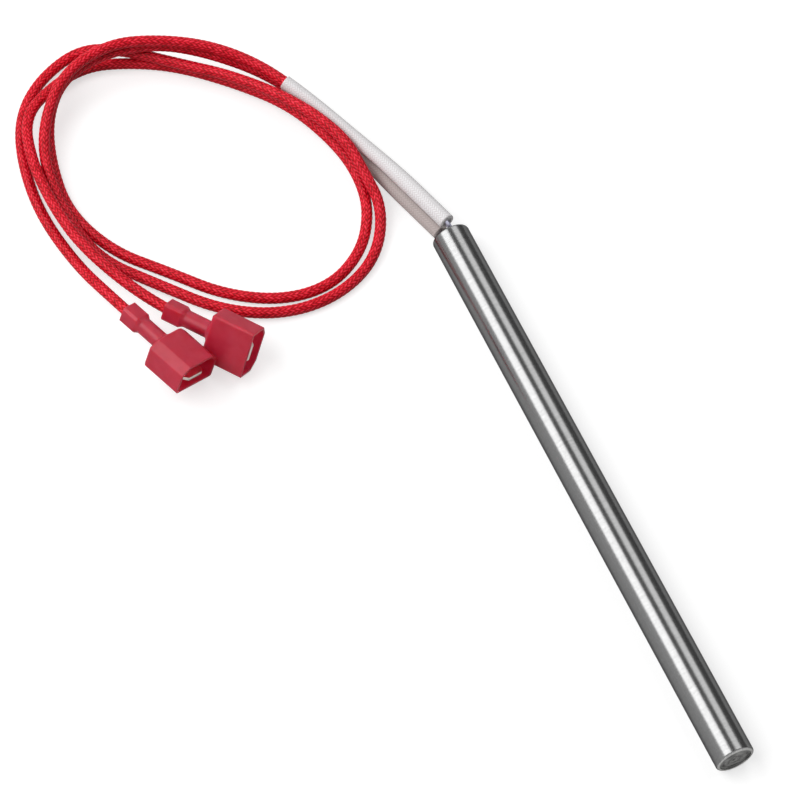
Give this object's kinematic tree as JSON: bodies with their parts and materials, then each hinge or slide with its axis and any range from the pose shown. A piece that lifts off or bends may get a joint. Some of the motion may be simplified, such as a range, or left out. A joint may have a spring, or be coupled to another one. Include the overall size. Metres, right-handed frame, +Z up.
{
  "type": "pellet stove igniter",
  "caption": "Straight cartridge heater rod that lights a pellet stove, with braided leads, glass-fibre sleeves over the joints and insulated male push-on terminals.",
  "frame": {"origin": "point on the resting surface under the middle of the heater, between its closed tip and the ends of its pins", "axes": "+Z up, +X along the heater from its lead end to its closed tip, +Y away from the coiled leads"},
  "size_m": [0.2418, 0.0931, 0.0131],
  "materials": {
    "steel_sheath": "ground",
    "steel_disc": "welded and ground",
    "nickel": "drawn",
    "ceramic": "matt",
    "magnesia": "packed powder",
    "heating_strip": "drawn",
    "splice_metal": "plated",
    "copper": "tinned",
    "glass_sleeve": "knitted",
    "red_braid": "braided",
    "red_nylon": "frosted",
    "tinned_brass": "tinned"
  },
  "bodies": {
    "root": {"sheath": "steel_sheath", "end_disc": "steel_disc", "tip_spacer": "ceramic", "ceramic_core": "ceramic", "heating_coil": "heating_strip", "magnesia_fill": "magnesia", "end_seal": "ceramic", "terminal_pin_1": "nickel", "terminal_pin_2": "nickel", "splice_1": "splice_metal", "splice_2": "splice_metal", "bare_end_1": "copper", "bare_end_2": "copper", "sleeve_1": "glass_sleeve", "sleeve_2": "glass_sleeve", "lead_1": "red_braid", "lead_2": "red_braid", "housing_1": "red_nylon", "housing_2": "red_nylon", "tab_1": "tinned_brass", "tab_2": "tinned_brass", "ferrule_1": "copper", "ferrule_2": "copper", "bare_tail_1": "copper", "bare_tail_2": "copper"}
  },
  "joints": []
}
